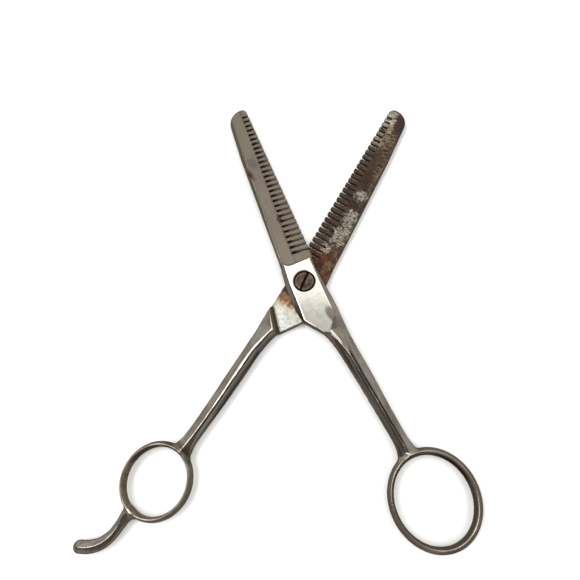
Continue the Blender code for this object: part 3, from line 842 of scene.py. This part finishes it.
def bearing_face(p, color, roughness, inner, rusted, edge, ragged_v):
    """Silvery face round the pivot, stained by rust from the joint and dark on the shoulder."""
    from_step = p.beyond(STEP_START, STEP_END)
    bearing = p.both(inner, p.opposite(rusted), p.ramp(p.w, -0.5, -0.2),
                     p.ramp(from_step, -0.1, 0.1))
    silver = p.mix(p.ramp(p.noise(1.3, 5.0, 0.65, shift=11.0), 0.4, 0.7), srgb(189, 192, 188),
                   srgb(160, 162, 155))
    color = p.mix(bearing, color, silver)
    roughness = p.blend(bearing, roughness, 0.24)
    stain = p.both(bearing, p.ramp(ragged_v, -8.5, -4.5))
    yellow = p.both(bearing, p.ramp(ragged_v, -13.0, -6.5, 0.0, 0.35))
    color = p.mix(yellow, color, srgb(178, 166, 120))
    color = p.mix(stain, color, p.mix(p.ramp(edge, 0.4, 0.6), srgb(128, 88, 52),
                                      srgb(84, 56, 34)))
    slope = p.both(p.ramp(from_step, 0.35, 0.0), p.ramp(from_step, -1.7, -1.2),
                   p.ramp(p.w, 0.5, 0.2))
    beside = p.both(bearing, p.ramp(from_step, 1.6, 0.0, 0.0, 0.6), p.ramp(edge, 0.3, 0.55))
    slope_color = p.mix(p.ramp(from_step, -1.5, 0.1), srgb(186, 172, 146), srgb(128, 115, 92))
    color = p.mix(beside, color, srgb(122, 110, 92))
    return p.mix(slope, color, slope_color), p.blend(slope, roughness, 0.4)


def rust_color(p, fine):
    """Dark brown, with red scabs towards the pivot."""
    broad = p.noise(5.0, 5.0, 0.65, shift=14.0)
    brown = p.mix(p.ramp(broad, 0.35, 0.65), srgb(50, 38, 33), srgb(70, 54, 42))
    brown = p.mix(p.ramp(fine, 0.45, 0.7, 0.0, 0.85), brown, srgb(27, 21, 17))
    red = p.ramp(p.math("ADD", p.v, p.math("MULTIPLY", broad, 8.0)), 25.0, 13.0)
    scabs = p.noise(1.5, 5.0, 0.7, shift=27.0)
    scab_color = p.mix(p.ramp(scabs, 0.4, 0.6), srgb(90, 52, 34), srgb(52, 32, 24))
    scab_color = p.mix(p.ramp(fine, 0.55, 0.72, 0.0, 0.8), scab_color, srgb(40, 22, 16))
    return p.mix(red, brown, scab_color)


def blade_wear(p, color, blade_face, fine, crystals):
    """Worn teeth, flakes of the old bright surface and the silvery tip, on the rusted face.
    Gives the colour and the share that is bare metal."""
    slot_start = p.ramp(p.v, 10.0, 72.0, ROOT_SLOT_U - 0.2, TIP_SLOT_U - 0.2)
    teeth = p.both(p.ramp(p.math("SUBTRACT", p.u, slot_start), -0.4, 0.6), blade_face,
                   p.ramp(p.v, 9.0, 16.0))
    tooth_wear = p.noise(0.8, 4.0, 0.7, stretch=(2.2, 0.6, 1.0), shift=31.0)
    worn = p.both(teeth, p.ramp(tooth_wear, 0.42, 0.65), p.ramp(p.v, 42.0, 62.0, 0.2, 0.85))
    color = p.mix(worn, color, srgb(104, 94, 80))

    edge_strip = p.both(p.ramp(p.math("ADD", p.u, fine), -1.2, -2.0), blade_face,
                        p.ramp(p.noise(1.6, 4.0, 0.7, shift=19.0), 0.42, 0.6))
    color = p.mix(p.math("MULTIPLY", edge_strip, 0.5), color, srgb(112, 96, 74))
    strokes = p.noise(0.8, 4.0, 0.7, stretch=(2.6, 0.6, 1.0), shift=37.0)
    specks = p.both(p.patch((-0.9, 56.0), (1.8, 12.0), -6.0, 0.7, 0.4, 1.6, 12.0),
                    p.ramp(strokes, 0.5, 0.62), blade_face)
    color = p.mix(specks, color, srgb(116, 100, 74))

    tip_end = p.patch((4.6, 73.6), (2.2, 2.4), 0.0, 0.5, 0.3, 1.2, 2.0)
    tip_teeth = p.both(p.patch((3.9, 65.5), (2.5, 7.5), -6.0, 0.6, 0.4, 1.4, 9.0),
                       p.ramp(tooth_wear, 0.42, 0.55))
    root_wear = p.both(p.patch((0.4, 14.8), (1.9, 1.6), 30.0, 0.9, 0.3, 1.2, 15.0),
                       p.ramp(crystals, 0.4, 0.55))
    tip = p.both(p.either(tip_end, tip_teeth, root_wear), blade_face)
    khaki = p.mix(p.ramp(fine, 0.35, 0.65), srgb(196, 188, 164), srgb(118, 103, 78))
    khaki = p.mix(tip_end, khaki, p.mix(p.ramp(crystals, 0.4, 0.65), srgb(122, 116, 98),
                                        srgb(186, 183, 172)))
    color = p.mix(tip, color, khaki)

    flakes = p.either(
        p.patch((-1.6, 21.2), (2.7, 4.6), 12.0, 1.6, 0.25, 2.6),
        p.patch((-2.0, 28.6), (2.3, 3.2), -12.0, 1.7, 0.25, 2.4, 3.0),
        p.patch((-1.4, 37.8), (2.0, 1.9), -15.0, 1.8, 0.35, 2.0, 6.0))
    flakes = p.both(flakes, p.ramp(crystals, 0.39, 0.51), blade_face)
    bright = p.mix(p.ramp(crystals, 0.42, 0.66), srgb(104, 95, 78), srgb(208, 206, 194))
    color = p.mix(flakes, color, bright)
    silver_teeth = p.both(p.patch((4.3, 70.4), (2.3, 2.3), 0.0, 0.5, 0.3, 1.2, 5.0),
                          p.ramp(strokes, 0.48, 0.58), blade_face)
    color = p.mix(silver_teeth, color, srgb(214, 212, 202))
    return color, p.either(flakes, silver_teeth, p.math("MULTIPLY", tip, 0.8))


def finger_steel():
    p = Painter("rusted_steel", MID_HEIGHT, FINGER_ANGLE, True)
    inner, _, milled, rim, flat, slots = steel_zones(p)
    color, roughness, lines, speck = nickel(p)
    color, roughness = finger_outer_face(p, color, roughness, milled, rim, flat)
    color, roughness = finger_shank_marks(p, color, roughness)
    color, roughness = finger_bow_painted_light(p, color, roughness)

    edge = p.noise(1.6, 5.0, 0.7, shift=23.0)
    ragged_v = p.math("ADD", p.v, p.math("MULTIPLY", edge, 6.0))
    rusted = p.ramp(ragged_v, -4.2, -2.6)
    color, roughness = bearing_face(p, color, roughness, inner, rusted, edge, ragged_v)

    blade_face = p.both(inner, rusted)
    fine = p.noise(0.7, 6.0, 0.75, shift=6.0)
    crystals = p.noise(0.55, 5.0, 0.75, stretch=(1.7, 0.55, 1.0), shift=17.0)
    rust = p.either(blade_face, slots)
    color = p.mix(rust, color, rust_color(p, fine))
    color, bare = blade_wear(p, color, blade_face, fine, crystals)

    # dark line along the blade's spine and round its tip
    spine = [row[:2] for row in FINGER_SECTIONS[:3]]
    spine_u = p.math("MAXIMUM", p.line_u(spine[1], spine[2]), p.line_u(spine[0], spine[1]))
    outline = p.either(p.ramp(p.math("SUBTRACT", p.u, spine_u), 0.5, 0.25),
                       p.ramp(p.v, TIP_V - 0.8, TIP_V - 0.5))
    outline = p.both(outline, blade_face, p.ramp(p.v, 12.0, 18.0))
    color = p.mix(p.math("MULTIPLY", outline, 0.8), color, srgb(42, 42, 37))
    color = p.mix(slots, color, srgb(66, 54, 44))

    metallic = p.blend(p.both(rust, p.opposite(bare)), 1.0, 0.1)
    roughness = p.blend(rust, roughness, p.blend(bare, 0.8, 0.45))
    rough_height = p.math("ADD", p.math("MULTIPLY", fine, 0.7), p.math("MULTIPLY", crystals, 0.5))
    height = p.blend(rust, polish_height(p, lines, speck), rough_height)
    return p.finish(color, metallic, roughness, height, 0.1)


def screw_steel():
    p = Painter("tarnished_screw")
    broad = p.noise(1.8, 4.0, 0.6, shift=2.0)
    fine = p.noise(0.3, 5.0, 0.75, shift=5.0)
    color = p.mix(p.ramp(broad, 0.35, 0.65), srgb(66, 50, 40), srgb(118, 104, 96))
    color = p.mix(p.ramp(fine, 0.48, 0.66), color, srgb(38, 26, 20))
    from_axis = p.vector("LENGTH", p.vector("MULTIPLY", p.place, (1.0, 1.0, 0.0)))
    # painted highlight: a paler tan ring round the head's edge
    rim = p.both(p.ramp(from_axis, 2.6, 2.9), p.ramp(p.w, 5.0, 5.3))
    color = p.mix(p.math("MULTIPLY", rim, 0.7), color, srgb(150, 132, 110))
    # painted shade: near black on the slot's floor, the head's side and the shank
    below = p.ramp(p.w, SCREW_HEAD_TOP - 0.25, SCREW_HEAD_TOP - 0.45)
    color = p.mix(below, color, srgb(34, 24, 17))
    roughness = p.ramp(fine, 0.3, 0.75, 0.28, 0.55)
    return p.finish(color, 0.85, roughness, fine, 0.06)


# Pieces

def forged_half(name, angle, turned_over, material, body, slot, box, **shape):
    """One half, carved in its own frame and laid in its open position."""
    piece = piece_from_field(name, box, HALF_STEP, lambda u, v, w: half_field(u, v, w, **shape))
    over = Matrix.Rotation(math.pi if turned_over else 0.0, 4, "Y")
    turn = Matrix.Rotation(math.radians(angle), 4, "Z")
    piece.data.transform(Matrix.Translation((0.0, 0.0, MID_HEIGHT * MM)) @ turn @ over)
    piece.data.materials.append(material)
    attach(piece, body)
    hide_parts(body)


def pieces():
    forged_half(
        "thumb_half_forging", THUMB_ANGLE, False, thumb_steel(), "thumb_half", "plated_steel",
        THUMB_BOX, table=THUMB_SECTIONS, bow_place=THUMB_BOW,
        slot_tilt=THUMB_SLOT_TILT, with_tang=False, with_counterbore=True)
    forged_half(
        "finger_half_forging", FINGER_ANGLE, True, finger_steel(), "finger_half", "rusted_steel",
        FINGER_BOX, table=FINGER_SECTIONS, bow_place=FINGER_BOW,
        slot_tilt=FINGER_SLOT_TILT, with_tang=True, with_counterbore=False)
    screw = piece_from_field("pivot_screw_turned", SCREW_BOX, SCREW_STEP, screw_field)
    screw.data.materials.append(screw_steel())
    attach(screw, "pivot_screw")
    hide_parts("pivot_screw")


# Floor, light and camera

def soft_box(name, place, size, power, mirrored):
    """A rectangular light that faces straight down."""
    light = bpy.data.lights.new(name, "AREA")
    light.shape = "RECTANGLE"
    light.size, light.size_y = size
    light.energy = power
    holder = bpy.data.objects.new(name, light)
    bpy.context.scene.collection.objects.link(holder)
    holder.location = place
    holder.visible_glossy = mirrored


def pale_floor():
    floor_mesh = bpy.data.meshes.new("floor")
    corners = [(FLOOR_REACH * x, FLOOR_REACH * y) for x, y in ((-1, -1), (1, -1), (1, 1), (-1, 1))]
    floor_mesh.from_pydata([(x, y, FLOOR_LEVEL) for x, y in corners], [], [(0, 1, 2, 3)])
    floor = bpy.data.objects.new("floor", floor_mesh)
    bpy.context.scene.collection.objects.link(floor)
    paint = bpy.data.materials.new("pale_floor")
    paint.use_nodes = True
    shader = paint.node_tree.nodes["Principled BSDF"]
    shader.inputs["Base Color"].default_value = FLOOR_COLOR
    shader.inputs["Roughness"].default_value = FLOOR_ROUGHNESS
    floor_mesh.materials.append(paint)
    floor.visible_glossy = False


def room_light():
    """The room as the steel mirrors it: light behind and along the horizon, dim in front, dark
    below."""
    world = bpy.data.worlds.new("studio")
    world.use_nodes = True
    bpy.context.scene.world = world
    nodes = world.node_tree.nodes
    links = world.node_tree.links
    coordinates = nodes.new("ShaderNodeTexCoord")
    parts = nodes.new("ShaderNodeSeparateXYZ")
    links.new(coordinates.outputs["Generated"], parts.inputs[0])
    room = None
    for axis, start, end, strength, color in WORLD_STEPS:
        step = nodes.new("ShaderNodeMapRange")
        step.interpolation_type = "SMOOTHSTEP"
        step.inputs["From Min"].default_value = start
        step.inputs["From Max"].default_value = end
        step.inputs["To Max"].default_value = strength
        links.new(parts.outputs[axis], step.inputs["Value"])
        mix = nodes.new("ShaderNodeMix")
        mix.data_type = "RGBA"
        links.new(step.outputs[0], mix.inputs["Factor"])
        mix.inputs[6].default_value = FRONT_WALL
        mix.inputs[7].default_value = color
        if room:
            links.new(room, mix.inputs[6])
        room = mix.outputs[2]
    links.new(room, nodes["Background"].inputs["Color"])


def photo_camera():
    """A close hand-held view from above the handles."""
    camera = bpy.data.objects.new("camera", bpy.data.cameras.new("camera"))
    camera.data.lens = CAMERA_LENS
    camera.data.sensor_width = CAMERA_SENSOR
    camera.data.clip_start = 0.01
    back = Vector(CAMERA_BACK).normalized()
    up = back.cross(Vector(CAMERA_RIGHT)).normalized()
    right = up.cross(back)
    axes = Matrix((right, up, back)).transposed().to_4x4()
    camera.matrix_world = Matrix.Translation(Vector(CAMERA_PLACE) * MM) @ axes
    bpy.context.scene.collection.objects.link(camera)
    bpy.context.scene.camera = camera


photo_camera()
pale_floor()
for box in SOFT_BOXES:
    soft_box(*box)
room_light()
pieces()
bpy.context.scene.view_settings.view_transform = "Standard"
bpy.context.view_layer.update()
